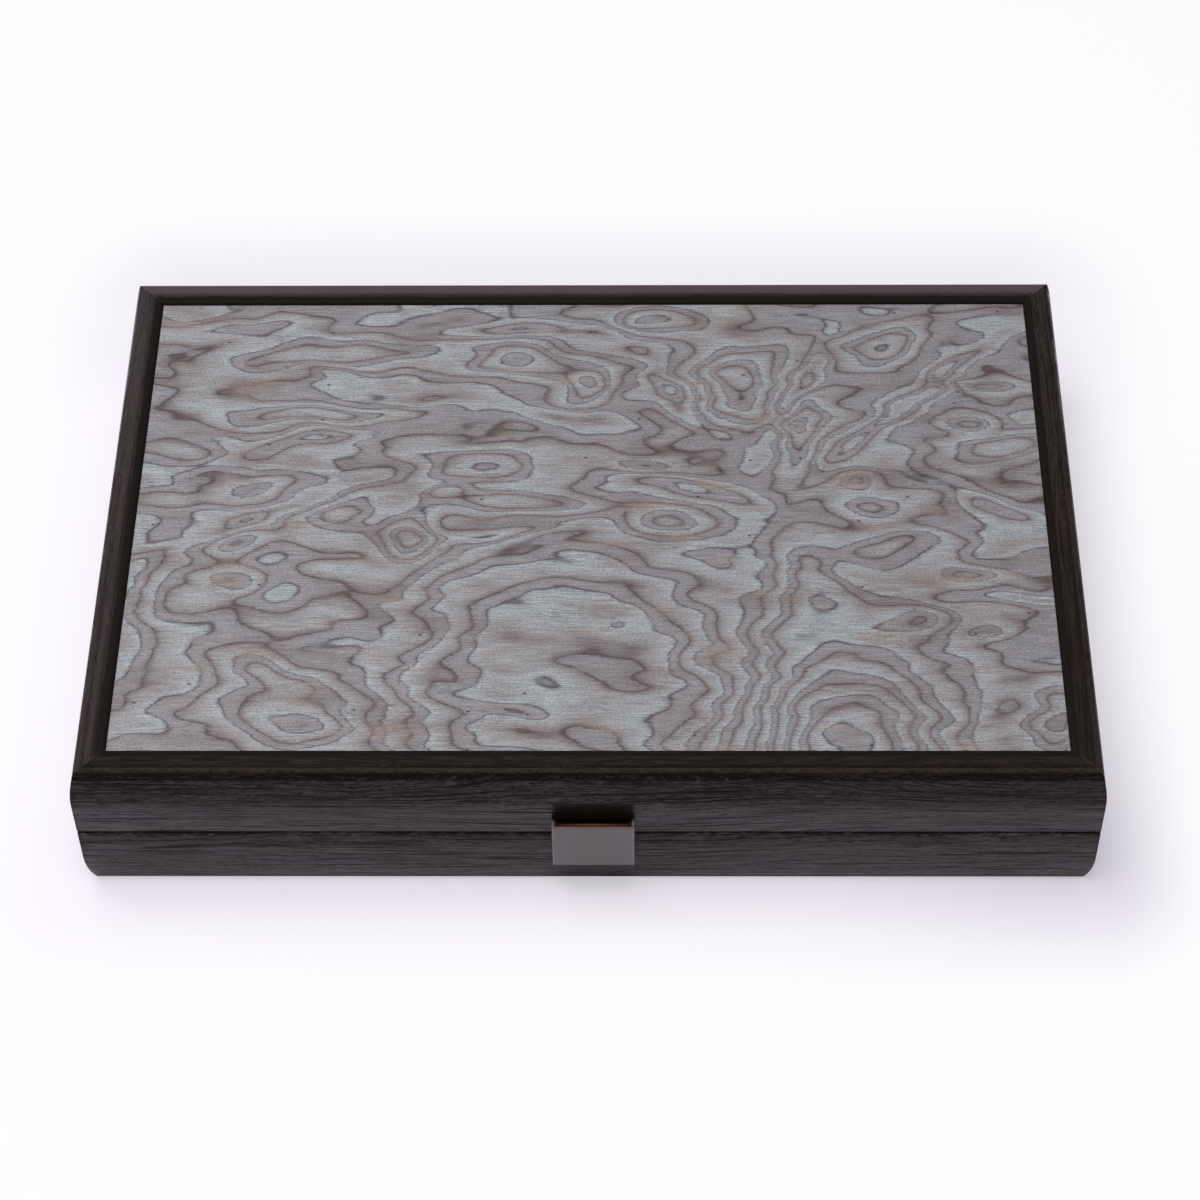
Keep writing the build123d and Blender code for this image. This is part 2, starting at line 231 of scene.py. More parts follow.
# %% Start a finish
def start_finish(name):
    """A new material with its main shader, and the piece's coordinates in mm."""
    material = bpy.data.materials.new(name)
    material.use_nodes = True
    tree = material.node_tree
    coordinates = Wire(tree.nodes.new("ShaderNodeTexCoord").outputs["Object"])
    at = coordinates.node("ShaderNodeMapping", None, {"Vector": coordinates, "Scale": [1 / MM] * 3})
    return material, tree.nodes["Principled BSDF"], at


def set_finish(shader, **inputs):
    """Sets the main shader's inputs: a Wire is linked, a number is set on the socket."""
    for name, value in inputs.items():
        socket = shader.inputs[name.replace("_", " ")]
        if isinstance(value, Wire):
            shader.id_data.links.new(value.socket, socket)
        else:
            socket.default_value = value


def split(at):
    """The x, y and z of a place."""
    return [at.node("ShaderNodeSeparateXYZ", None, {0: at}, out=i) for i in range(3)]


sample, _, _ = start_finish("sample")
print("a finish starts with", len(sample.node_tree.nodes), "nodes")
bpy.data.materials.remove(sample)

# %% [markdown]
# The panels are faced with a thin leaf of burl, dyed grey. A burl is a knotted growth, and the
# knife cuts its growth rings like the level lines of a map: closed loops round each knot,
# long fingers and sharp V shapes between them. So the figure is made as a landscape. Noise
# alone would give rings too, but no island where one is wanted, so each knot is a hill or a
# hollow placed one by one. Noise only adds the small lumps, and the height, cut at every whole
# ring, picks the colour. The fibres run along x. They shift the place before the height is
# read, which gives the ring lines their ragged edge wherever they cross the grain.

# %% The knots: x and y in mm, half width, half depth, turn in degrees, rings up or down
KNOTS = [
    (98, -118, 36, 58, 0, -5.0), (82, -32, 11, 17, 0, -1.6), (-108, -103, 26, 15, -8, -2.2),
    (-118, -76, 28, 7, -20, -1.4), (-182, -62, 16, 42, 0, 1.6), (-71, -10, 12, 14, 0, -2.4),
    (-133, -16, 12, 5, 0, -1.2), (-134, -33, 14, 6, 0, -1.2), (-95, -28, 18, 5, 0, -0.9),
    (-100, -46, 14, 6, 0, -0.9), (-115, 80, 46, 10, 12, -1.6), (-103, 76, 18, 3.5, 3, 1.0),
    (-112, 53, 34, 6, 3, -1.5), (-145, 100, 34, 6, 4, -1.2), (-125, 34, 62, 5, 16, 1.3),
    (-120, 3, 55, 5, 26, 1.1), (-130, 15, 13, 5, 14, -1.2), (-150, 26, 20, 4, 12, -1.2),
    (-95, 3, 14, 10, 40, -1.3), (-48, 26, 30, 11, -12, -1.6), (-70, 60, 28, 4, 5, 0.9),
    (-30, 80, 20, 11, 0, -2.0), (-2, 67, 11, 9, 10, -2.0), (-25, 99, 50, 5, 0, 1.0),
    (-10, 52, 28, 5, -8, 0.9), (60, 72, 18, 24, 20, -2.6), (36, 62, 30, 5, -48, 1.2),
    (82, 62, 32, 5, 66, 1.2), (25, 103, 18, 8, -10, -1.8), (120, 90, 16, 10, 35, -1.6),
    (84, 40, 8, 24, -12, -1.6), (132, 62, 58, 5, 42, 1.4), (107, 18, 9, 6, 0, -1.1),
    (114, 3, 16, 6, 5, -1.4), (142, 47, 9, 5, 0, -1.1), (155, 69, 14, 3, 3, -1.1),
    (160, 33, 30, 7, 20, -1.2), (152, 8, 30, 5, -25, 0.9), (122, -16, 22, 8, 5, -1.1),
    (146, -30, 14, 4, -5, -1.1), (160, -42, 22, 3, -3, 0.9), (122, -52, 14, 7, 0, -1.1),
    (148, -57, 8, 4, 0, -0.9), (174, -98, 12, 14, 0, -2.0), (-30, 7, 30, 6, 0, -1.5),
    (-35, -9, 24, 3, 4, -1.1), (25, -5, 16, 7, 12, -1.3), (22, 27, 18, 4, -14, -1.0),
    (40, 14, 44, 6, -16, 0.8), (-58, 12, 8, 4, 0, -1.0), (-50, -58, 16, 5, 5, -0.7),
    (-46, -82, 9, 7, 0, -0.6), (-26, -95, 14, 4, -18, -0.6), (12, -53, 5, 3, 0, -0.5),
    (36, -70, 12, 7, 0, -0.6),
]
PLATEAU = (-8, -78, 62, 60, 0, 2.7)
print("knots in the burl:", len(KNOTS) + 1)

# %% [markdown]
# Every knot adds the same bell-shaped hill, stretched, turned and lifted or sunk. The plateau
# is a wider hill with a flat top. Separate shapes could be blended instead, but a sum of hills
# has no seams. The shifts come first, so that the fibres fray every ring alike.

# %% The height of the burl's landscape
FRAY, FINGERS, SWAY, LIFT = 4.4, 8, 22, 16
LUMPS, GROUND, ENDLESS = 2.6, 1.1, 1e6


def knot_reach(at, x, y, wide, deep, turn):
    """0 at a knot's middle, 1 at its rim, growing with the square of the distance."""
    inputs = {"Vector": at, "Location": (x, y, 0), "Rotation": (0, 0, math.radians(turn)),
              "Scale": (wide, deep, ENDLESS)}
    near = at.node("ShaderNodeMapping", {"vector_type": "TEXTURE"}, inputs)
    return at.vector("DOT_PRODUCT", near, near, out=1)


def burl_height(at):
    """The landscape's height in rings at each place."""
    x, y, _ = split(at)
    fibre = noise(at, (8, 0.42, 40), 2, 0.6) - 0.5
    finger = noise(at, (60, 9, 60), 0, 0.5, (3, 7, 1)) - 0.5
    sway = noise(at, (70, 34, 60), 1, 0.5, (5, 1, 2)) - 0.5
    lift = noise(at, (50, 50, 60), 1, 0.5, (1, 4, 6)) - 0.5
    shifted = {0: x + fibre * FRAY + finger * FINGERS + sway * SWAY, 1: y + lift * LIFT, 2: 0.0}
    place = at.node("ShaderNodeCombineXYZ", None, shifted)
    height = noise(place, (44, 20, 30), 1.5, 0.5, (2, 3, 4)) * LUMPS - GROUND
    for *knot, rings in KNOTS:
        reach = knot_reach(place, *knot)
        height = height.sum("MULTIPLY_ADD", reach.sum("POWER", math.exp(-1), reach), rings, height)
    *middle, rings = PLATEAU
    reach = knot_reach(place, *middle)
    flat = reach * reach
    return height.sum("MULTIPLY_ADD", flat.sum("POWER", math.exp(-1), flat), rings, height)


print("shifts of up to", (FRAY + FINGERS + SWAY) / 2, "mm along the fibres,", LIFT / 2, "mm across")

# %% [markdown]
# Across one ring the colour runs from a thin brown line through a violet grey to a second
# thin line, then jumps to a pale blue that fades through beige to the next line. Thresholds
# and mixes could draw the same, but a colour ramp shows the whole ring in one row of stops.
# The lines fade out here and there, where the same ramp without its dark stops takes over.

# %% The colours across one ring
RING = [
    (0.0, shade(78, 58, 57)), (0.01, shade(92, 77, 78)), (0.030, shade(139, 134, 139)),
    (0.18, shade(149, 146, 150)), (0.335, shade(145, 142, 147)), (0.362, shade(116, 111, 115)),
    (0.378, shade(80, 71, 74)), (0.392, shade(98, 93, 97)), (0.418, shade(158, 164, 169)),
    (0.47, shade(169, 174, 179)), (0.56, shade(165, 168, 172)), (0.7, shade(161, 160, 163)),
    (0.86, shade(151, 147, 148)), (0.955, shade(129, 120, 121)), (0.988, shade(90, 74, 74)),
]
LINE_TONE = shade(120, 0, 0)[0]
SOFT_RING = [stop for stop in RING if stop[1][0] > LINE_TONE]


def burl_rings(leaf):
    """The ring colours of a leaf, and the place within the ring, from 0 to 1."""
    height = burl_height(leaf)
    phase = height.sum("FRACT", height)
    faint = between(noise(leaf, (16, 8, 1), 2, 0.55, (8, 3, 2)), 0.50, 0.66)
    colour = mix(faint * 0.6, ramp(phase, RING), ramp(phase, SOFT_RING))

    cream_patch = between(noise(leaf, (20, 7, 1), 1, 0.5, (7, 7, 0)), 0.66, 0.72)
    cream = cream_patch * between(phase, 0.40, 0.43) * between(phase, 0.54, 0.45)
    return mix(cream * 0.7, colour, shade(204, 199, 194)), phase


print("stops across a ring:", len(RING), "and without its lines:", len(SOFT_RING))

# %% [markdown]
# Over the rings lie warm and cool clouds of dye, fine streaks along the fibres, short dark
# flecks, feathers where a line bleeds along the fibres, and the black pin holes of a burl.
# A wood texture node could give streaks, but plain noise stretched along x breaks them up
# as real fibres are.

# %% The dye, painted light, the fibres and the pin holes
LEAF_HALF_WIDTH = 190.0


def dye_and_painted_light(leaf, colour):
    """Tan patches, clouds of warmer dye, and painted light: the leaf is a little brighter toward its
    left.
    """
    tan = between(noise(leaf, (30, 9, 20), 3, 0.6, (2, 9, 4)), 0.55, 0.70)
    colour = mix(tan * 0.6, colour, shade(158, 143, 134))
    cloud = noise(leaf, (50, 16, 20), 3, 0.55, (9, 2, 7))
    warm = ramp(cloud, [(0.38, shade(249, 254, 255)), (0.52, shade(248, 249, 248)),
                        (0.68, shade(223, 215, 212))])
    across = between(split(leaf)[0], -LEAF_HALF_WIDTH, LEAF_HALF_WIDTH)
    # Painted light: the leaf is made a little brighter toward its left end, as if lit from the left.
    painted_light_from_left = ramp(across, [(0.0, shade(255, 255, 255)), (0.5, shade(247, 247, 247))])
    return mix(1.0, mix(1.0, colour, warm, "MULTIPLY"), painted_light_from_left, "MULTIPLY")


def burl_fibres(leaf, colour, phase):
    """Streaks, flecks and feathers along the fibres. Returns the colour and the grain."""
    streak = noise(leaf, (12, 0.5, 10), 2, 0.65, (0, 2, 5))
    speck = noise(leaf, (1.0, 0.45, 1), 2, 0.65, (6, 2, 5))
    grain = streak * 0.5 + speck * 0.5
    fine = ramp(grain, [(0.41, shade(188, 187, 188)), (0.59, shade(255, 255, 255))])
    colour = mix(1.0, colour, fine, "MULTIPLY")
    fleck = between(noise(leaf, (1.5, 0.4, 1), 1, 0.5, (3, 1, 7)), 0.56, 0.70)
    colour = mix(fleck * 0.5, colour, shade(100, 92, 94))

    dash = between(noise(leaf, (5, 0.42, 10), 2, 0.6, (1, 8, 3)), 0.50, 0.62)
    beside = between(phase, 0.84, 0.98) + between(phase, 0.12, 0.0)
    beside = beside + between(phase, 0.52, 0.41) * between(phase, 0.36, 0.40)
    patch = between(noise(leaf, (26, 11, 1), 2, 0.5, (3, 5, 9)), 0.52, 0.66)
    feather = dash.sum("MINIMUM", beside * 0.6 + patch * 0.7, 1.0) * dash
    return mix(feather, colour, shade(94, 84, 85)), grain


def burl_pins(leaf, colour):
    """Pin holes: the middles of a few cells of a Voronoi pattern."""
    placed = leaf.node("ShaderNodeMapping", None, {"Vector": leaf, "Scale": (1 / 21, 1 / 12, 0)})
    cells = {"Vector": placed, "Scale": 1.0}
    from_middle, chance = [leaf.node("ShaderNodeTexVoronoi", {"voronoi_dimensions": "2D"}, cells, out=i)
                           for i in (0, 1)]
    hole = between(from_middle, 0.045, 0.026) * between(split(chance)[0], 0.86, 0.88)
    return mix(hole * 0.85, colour, shade(38, 32, 34))


# The slow change over this width is painted light, brighter at the left end.
print("the dye changes slowly over", 2 * LEAF_HALF_WIDTH, "mm")

# %% [markdown]
# The layers are laid over one another under a satin lacquer, and the fibres give a trace of
# relief. The pattern is flattened along z, so it runs straight through the leaf. Lid and base
# could each have a figure of its own, but leaves cut one after the other look alike, so the
# base takes the lid's, turned half round.

# %% Grey burl veneer
def burl_leaf(name, turn=0.0):
    """Grey burl, with the leaf turned by the given angle about the middle of the panel."""
    material, shader, at = start_finish(name)
    leaf = at.node("ShaderNodeMapping", None,
                   {"Vector": at, "Rotation": (0, 0, turn), "Scale": (1, 1, 0)})
    colour, phase = burl_rings(leaf)
    colour, grain = burl_fibres(leaf, dye_and_painted_light(leaf, colour), phase)
    colour = burl_pins(leaf, colour)
    set_finish(shader, Base_Color=colour, Roughness=0.42 + grain * 0.12)
    set_finish(shader, Normal=bump(grain, 0.00002), Specular_IOR_Level=0.35)
    return material


burl_lid = burl_leaf("burl_veneer_lid")
burl_base = burl_leaf("burl_veneer_base", math.pi)
print("nodes in the burl:", len(burl_lid.node_tree.nodes))

# %% [markdown]
# The rails are wrapped in a dark foil printed and pressed like ash. Its grain runs along each
# rail, so the front and back take it along x and the sides along y, and it meets at the
# mitres. A Wave texture could rule its lines, but evenly, so they are noise stretched along
# the rail. It is read at a place made for it: far along the rail, and across it a mix of
# height and distance outward, bent by slow noises, so one line can run over the rounded edge.

# %% The foil's grain
ARRIS = {"x": 124.0, "y": 187.0}
LEAN, RIPPLE = 22, 1.8


def ash_grain(at, along):
    """The foil's tones, dark lines and small bits, with the grain along x or y."""
    x, y, z = split(at)
    far, inward = (x, y) if along == "x" else (y, x)

    def size(length, width):
        return (length, width, width) if along == "x" else (width, length, width)

    lean = noise(at, size(210, 40), 1, 0.5, (1, 2, 3)) - 0.5
    ripple = noise(at, size(30, 5), 2, 0.6, (4, 1, 3)) - 0.5
    depth = z + abs(inward) + lean * LEAN + ripple * RIPPLE
    grain = at.node("ShaderNodeCombineXYZ", None, {0: far, 1: depth, 2: inward * 0.1})

    cloud = noise(grain, (110, 9, 14), 2, 0.55, (7, 2, 5))
    tone = ramp(cloud, [(0.34, shade(41, 32, 35)), (0.48, shade(37, 28, 29)),
                        (0.56, shade(38, 28, 21)), (0.66, shade(27, 20, 18))])
    threads = noise(grain, (16, 0.36, 3), 2, 0.65, (6, 1, 4))
    lines = noise(grain, (60, 0.75, 7), 2, 0.6, (2, 5, 1))
    pores = noise(grain, (4, 0.32, 3), 1, 0.5, (4, 2, 3))
    dull = (between(threads, 0.52, 0.42) * 0.65).most(between(lines, 0.45, 0.39) * 0.95)
    dull = dull.most(between(pores, 0.58, 0.66) * 0.8)
    bits = noise(grain, (2.6, 0.5, 1.5), 2, 0.6, (3, 6, 2))
    crumbs = between(bits * 0.7 + ripple * 0.4 + 0.15, 0.56, 0.50)
    streaks = noise(grain, (12, 0.9, 3), 2, 0.6, (5, 3, 1))
    return tone, cloud, threads, streaks, dull, bits, crumbs


print("the rim's outer edge lies at", ARRIS["x"], "mm in front and", ARRIS["y"], "mm beside")

# %% [markdown]
# A moulding never shines the same all over. The rounded shoulders are duller and browner than
# the flat sides, partly by their print and partly by painted shade, and the base's shoulder
# under the parting line is painted shade. The back rim, and less so the left rim, have a
# painted sheen, and the lip round the panel is painted near black as shade. The front edge is
# worn into two rows of black specks with a painted highlight as a brown line between, the
# lid's edge above the parting line has a painted highlight, and the base's edge below it is
# darkened by painted shade. These could be painted on, but masks made from the height and the
# distance outward follow the moulding exactly and stay sharp at any size.

# %% Where the moulding differs
PARTING, HALF_WIDTH, HAIR = 34.0, 190, 0.1
RIM_TOP, LID_SHOULDER, BASE_SHOULDER = (66.2, 66.8), (44, 56), (22, 30)
UNDER_EDGE, LID_LIP, BASE_LIP = (63.6, 64.8), (65.8, 66.4), (2.2, 1.6)
BACK_RIM, FRONT_HALF = (112, 120), (80, 0)
MITRE_OFFSET = ARRIS["y"] - ARRIS["x"]


def moulding(at, along):
    """Masks of the places on the moulding, by name."""
    x, y, z = split(at)
    outward = abs(y if along == "x" else x) - ARRIS[along]
    top, front = between(z, *RIM_TOP), between(y, *FRONT_HALF)
    in_base = between(z, PARTING + HAIR, PARTING - HAIR)
    # Painted sheen: the back rim, and less so the left rim, are made lighter as if catching the light.
    sheen = between(y, *BACK_RIM) if along == "x" else between(x, HALF_WIDTH, -HALF_WIDTH) * 0.5
    specks = between(z, *UNDER_EDGE) * between(outward, -0.2, 0.4)
    specks = specks.most(top * band(outward, -2.9, -2.0, 0.5))
    return {
        "shoulder": between(z, *LID_SHOULDER) + between(z, *BASE_SHOULDER) * in_base * 0.8,
        "sheen": sheen * top * between(outward, -7, -4),
        "front_top": top * front,
        "near": between(y, 60, -120) * top,
        "mitre": between(abs(abs(x) - abs(y) - MITRE_OFFSET), 0.35, HAIR) * top,
        "torn": specks * front * (1.0 if along == "x" else 0.4),
        # Painted highlight: a lighter brown line along the front arris, between the worn specks.
        "rubbed": top * band(outward, -1.6, 0.1, 0.5) * front,
        # Painted shade: the base's edge just below the parting line is darkened in ragged specks.
        "parting": between(z, PARTING - 3.6, PARTING - 1.0) * between(z, PARTING + 0.2, PARTING - HAIR),
        # Painted highlight: the lid's edge just above the parting line is made lighter.
        "brink": between(z, PARTING, PARTING + HAIR) * between(z, PARTING + 1.0, PARTING + 0.5),
        # Painted shade: the lip where the foil turns down to the panel is made near black.
        "lip": between(outward, -6.8, -7.6) * (between(z, *LID_LIP) + between(z, *BASE_LIP)),
    }


print("the mitres run where x and y differ by", MITRE_OFFSET, "mm")

# %% [markdown]
# The foil is layered from the ground up: browner shoulders, partly painted shade, a painted
# sheen, dull lines, then the worn specks, with painted highlights and painted shade along the
# edges. Each mark could be a material of its own, but one stack of mixes lets them overlap and
# fade. A clear coat carries the shine, and the marks thin it, so that they are matt as well as dark.

# %% Black ash foil
def ash_foil(name, along):
    """Dark ash foil for the rails along x or y."""
    material, shader, at = start_finish(name)
    tone, cloud, threads, streaks, dull, bits, crumbs = ash_grain(at, along)
    where = moulding(at, along)
    shoulder, sheen, torn, rubbed = (where[key] for key in ("shoulder", "sheen", "torn", "rubbed"))

    # Partly print, partly painted shade: the shoulders, and the base's shoulder under the parting, are
    # browner and darker.
    colour = mix(shoulder * 0.75, tone, shade(33, 24, 17))
    # Painted sheen: lighter violet grey on the back rim and the left rim.
    colour = mix(sheen * 0.7, colour, shade(66, 56, 62))
    dull = dull * (1.0 - shoulder * 0.25 - sheen * 0.7)
    streaks = between(streaks, 0.50, 0.58) * where["front_top"]
    dull = dull.most(streaks * (0.8 if along == "x" else 0.2))
    colour = mix(dull, colour, shade(10, 7, 6))
    colour = mix(where["mitre"] * 0.35, colour, shade(84, 68, 60))
    # Painted highlight along the front arris, broken up by the bits.
    colour = mix(rubbed * between(bits, 0.62, 0.44) * 0.42, colour, shade(58, 49, 44))
    # The worn specks, joined with the painted shade below the parting line.
    dark = torn.most(where["parting"] * 0.8) * crumbs
    colour = mix(dark * 0.95, colour, shade(8, 5, 4))
    # Painted highlight on the lid's edge above the parting line.
    colour = mix(where["brink"] * between(cloud, 0.48, 0.56) * 0.5, colour, shade(96, 88, 96))
    # Painted shade on the lip round the panel.
    colour = mix(where["lip"] * 0.7, colour, shade(12, 8, 7))

    gloss = 0.92 - dull.most(dark) * 0.75 - shoulder * 0.5 + sheen * 0.4 + (bits - 0.5) * shoulder * 1.2
    gloss = gloss - torn * 0.3 - where["lip"] * 0.6 - rubbed * 0.35 - where["near"] * 0.1
    gloss = gloss.sum("MINIMUM", gloss.most(0.0), 1.0)
    set_finish(shader, Base_Color=colour, Roughness=0.6 + threads * 0.12, Coat_Weight=gloss)
    set_finish(shader, Coat_Roughness=0.22, Specular_IOR_Level=0.08, Normal=bump(gloss, 0.00005))
    return material


ash_along_x = ash_foil("black_ash_along_x", "x")
ash_along_y = ash_foil("black_ash_along_y", "y")
print("nodes in the foil:", len(ash_along_x.node_tree.nodes))

# %% [markdown]
# The clasp's flap is plated a dull gunmetal: bluish toward its sides and warmer in the middle.
# Its folds and its open top edge carry a painted highlight, lighter than the plate. The mount
# behind it is coloured a near-black brown, which keeps the open top dark, and the keeper below
# is a softer black. The highlighted edges could be painted by hand, but the distance to the
# middle of the clasp finds them exactly. All are plain metal, so one helper takes their tones.

# %% Gunmetal flap and blackened plates
CLASP_MIDDLE, FLAP_HALF_WIDTH, FLAP_TOP = 2.0, 15.24, 45.0
FOLD_IN, FOLD_OUT, EDGE = FLAP_HALF_WIDTH - 0.74, FLAP_HALF_WIDTH - 0.34, FLAP_HALF_WIDTH - 0.14


def plated(name, middle, side, edge, top, rough):
    """Plated sheet: tones for its middle, its sides, and the painted highlights on its side folds and
    top edge.
    """
    material, shader, at = start_finish(name)
    x, _, z = split(at)
    off = abs(x - CLASP_MIDDLE)
    cloud = noise(at, (14, 6, 7), 2, 0.5)
    fine = noise(at, (0.3, 0.3, 0.3), 3, 0.7)
    colour = mix(between(off + cloud * 6, 6, 17), shade(*middle), shade(*side))
    # Painted highlight: the side folds are made lighter, and so is the open top edge below.
    rubbed = between(off, FOLD_IN, FOLD_OUT) * between(off, FLAP_HALF_WIDTH, EDGE)
    colour = mix(rubbed * 0.8, colour, shade(*edge))
    colour = mix(between(z, FLAP_TOP - 0.05, FLAP_TOP + 0.05) * 0.7, colour, shade(*top))
    set_finish(shader, Base_Color=colour, Metallic=1.0, Roughness=rough + fine * 0.14)
    set_finish(shader, Normal=bump(fine, 0.000006))
    return material


# The fourth and fifth tones are painted highlights for the folds and the open top edge.
gunmetal = plated("gunmetal", (106, 102, 100), (104, 106, 106), (146, 132, 130), (118, 92, 82), 0.36)
keeper_plate = plated("blackened_keeper", (70, 64, 67), (72, 67, 71), (90, 82, 84), (72, 67, 71), 0.46)
mount_plate = plated("brown_black_mount", (30, 15, 10), (26, 15, 12), (48, 30, 24), (26, 15, 12), 0.42)
# The pin is paler in its middle and darker toward its ends: a painted highlight across the middle.
pin_plate = plated("rubbed_pin", (66, 38, 31), (40, 24, 20), (40, 24, 20), (66, 38, 31), 0.42)
print("clasp finishes:", [made.name for made in (gunmetal, keeper_plate, mount_plate, pin_plate)])

# %% [markdown]
# The playing field and its points are thin inlaid veneers, grey, black and pale, glued on a
# panel of core board, and plywood tongues hold the mitres. Each shows fine fibres along x and
# slow bands between them. A real plank's end grain could be built from rings, but on leaves
# this thin only long streaks show, so stretched noise at three sizes is enough.

# %% Straight-grained veneers and timbers
def timber(name, size, stops, rough=0.45, depth=0.00003, move=(0, 0, 0)):
    """Plain timber whose fibres have the given size in mm, coloured by a row of stops."""
    material, shader, at = start_finish(name)
    wide = [value * 6 for value in size]
    growth = noise(at, wide, 3, 0.55, move)
    fibre = noise(at, size, 3, 0.65, move)
    pore = noise(at, [value * 0.45 for value in size], 2, 0.6, move)
    colour = ramp(growth * 0.45 + fibre * 0.4 + pore * 0.15, stops)
    set_finish(shader, Base_Color=colour, Roughness=rough + fibre * 0.14, Normal=bump(pore, depth))
    set_finish(shader, Specular_IOR_Level=0.4)
    return material


field_veneer = timber("grey_ash_field", (26, 0.7, 1.2),
                      stops_of((106, 103, 102), (128, 124, 122), (142, 138, 135), (156, 152, 149)))
dark_inlay = timber("dark_point_veneer", (22, 0.6, 1.0),
                    stops_of((22, 19, 19), (38, 33, 32), (50, 43, 40)), move=(3, 2, 1))
light_inlay = timber("light_point_veneer", (30, 0.8, 1.2),
                     stops_of((190, 180, 166), (208, 199, 186), (220, 213, 202)), move=(6, 1, 4))
core_board = timber("core_board", (3, 1.2, 1.2),
                    stops_of((150, 122, 90), (170, 142, 108), (186, 160, 126)), 0.7)
plywood = timber("mitre_key_plywood", (20, 1.4, 0.5),
                 stops_of((168, 136, 98), (192, 160, 120), (206, 178, 140)), 0.65)
print("timbers:", field_veneer.name, dark_inlay.name, light_inlay.name)

# %% [markdown]
# Hinge leaves, the spring tongue and the screws are rolled or turned steel, blackened to go
# with the foil. Brushed lines could come from a stretched bump alone, but soft clouds of tone
# under the fine grain keep a small part from looking like plastic.

# %% Steels
def metal_finish(name, dark, light, size, rough, depth=0.000004):
    """Metal with soft clouds of tone and a fine grain of the given size in mm."""
    material, shader, at = start_finish(name)
    cloud = noise(at, (9, 9, 9), 2, 0.5)
    grain = noise(at, size, 3, 0.7)
    colour = ramp(cloud * 0.6 + grain * 0.4, [(0.35, shade(*dark)), (0.65, shade(*light))])
    set_finish(shader, Base_Color=colour, Metallic=1.0, Roughness=rough + grain * 0.16)
    set_finish(shader, Normal=bump(grain, depth))
    return material


hinge_steel = metal_finish("blackened_hinge_steel", (92, 90, 92), (120, 116, 116), (6, 0.2, 0.2), 0.3)
spring_steel = metal_finish("blued_spring_steel", (44, 40, 42), (66, 58, 58), (0.3, 4, 0.3), 0.3)
screw_steel = metal_finish("dark_screw_steel", (70, 66, 66), (104, 98, 96), (0.3, 0.3, 0.3), 0.34)
print("steels:", [made.name for made in (hinge_steel, spring_steel, screw_steel)])

# %% [markdown]
# Checkers are turned from wood and lacquered, one side ebonised and one left pale. Dice and
# cube are cast and polished. A low roughness alone would make both shine, but like glass. A
# clear coat over a slightly varied colour gives the tight highlight, and the layer below
# keeps its own softer shine.

# %% Playing pieces' finishes
def lacquered(name, size, stops, rough):
    """Turned wood under satin lacquer: fibres below, an even clear coat above."""
    material, shader, at = start_finish(name)
    fibre = noise(at, size, 3, 0.6)
    growth = noise(at, [value * 5 for value in size], 2, 0.5)
    colour = ramp(fibre * 0.5 + growth * 0.5, stops)
    set_finish(shader, Base_Color=colour, Roughness=rough + fibre * 0.1, Normal=bump(fibre, 0.00001))
    set_finish(shader, Coat_Weight=0.35, Coat_Roughness=0.2)
    return material


dark_checker = lacquered("ebonised_checker", (0.5, 0.5, 9),
                         stops_of((24, 20, 20), (38, 33, 32), (52, 45, 42)), 0.36)
light_checker = lacquered("maple_checker", (0.5, 0.5, 9),
                          stops_of((196, 180, 156), (212, 198, 176), (224, 213, 194)), 0.36)
dark_die = lacquered("black_die", (3, 3, 3), stops_of((24, 23, 24), (32, 31, 32)), 0.22)
light_die = lacquered("ivory_die", (3, 3, 3), stops_of((222, 214, 196), (232, 226, 210)), 0.22)
white_paint = lacquered("white_pip_paint", (1, 1, 1), stops_of((214, 212, 206), (226, 224, 218)), 0.4)
black_paint = lacquered("black_pip_paint", (1, 1, 1), stops_of((20, 19, 20), (30, 29, 30)), 0.4)
print("playing finishes:", [made.name for made in (dark_checker, light_checker, dark_die, light_die)])

# %% [markdown]
# The small pieces are modelled as by hand, with edit-mode operators. By hand, faces and edges
# are clicked; here they are chosen by the place of their middle or by their normal. Every
# finished piece keeps its object at the origin and its place in its mesh, as the frame's
# pieces do, so that a pattern never slides when a part turns.

# %% Choose faces and edges in code
SMOOTH_BELOW = math.radians(35)


def choose(kind, test):
    """In edit mode, selects only the faces or edges whose middle passes the test."""
    bpy.ops.mesh.select_all(action="DESELECT")
    bpy.context.tool_settings.mesh_select_mode = (False, kind == "edges", kind == "faces")
    mesh = bmesh.from_edit_mesh(bpy.context.object.data)
    for part in getattr(mesh, kind):
        middle = sum((corner.co for corner in part.verts), Vector()) / len(part.verts)
        if test(part, middle):
            part.select_set(True)
    mesh.select_flush_mode()
    bmesh.update_edit_mesh(bpy.context.object.data)


def only(piece):
    """Makes one piece the selected and active one."""
    bpy.ops.object.select_all(action="DESELECT")
    piece.select_set(True)
    bpy.context.view_layer.objects.active = piece


def settle(piece, name, material):
    """Puts a piece's place into its mesh, smooths it, and gives it a name and a finish."""
    only(piece)
    bpy.ops.object.transform_apply(location=True, rotation=True, scale=True)
    bpy.ops.object.shade_smooth_by_angle(angle=SMOOTH_BELOW)
    piece.name = name
    piece.data.name = name
    if material:
        piece.data.materials.clear()
        piece.data.materials.append(material)


print("edges under", round(math.degrees(SMOOTH_BELOW)), "degrees are shaded smooth")

# %% [markdown]
# What repeats is modelled once, copied with meshes of its own, and joined into one piece, and
# hollows are cut by a Boolean modifier that is applied at once. Instances and live modifiers
# would keep the file lighter, but here every piece ends as a finished mesh.

# %% Join, cut, copy and measure
def join(pieces):
    """Several pieces made into one."""
    only(pieces[0])
    for piece in pieces[1:]:
        piece.select_set(True)
    bpy.ops.object.join()
    return bpy.context.object


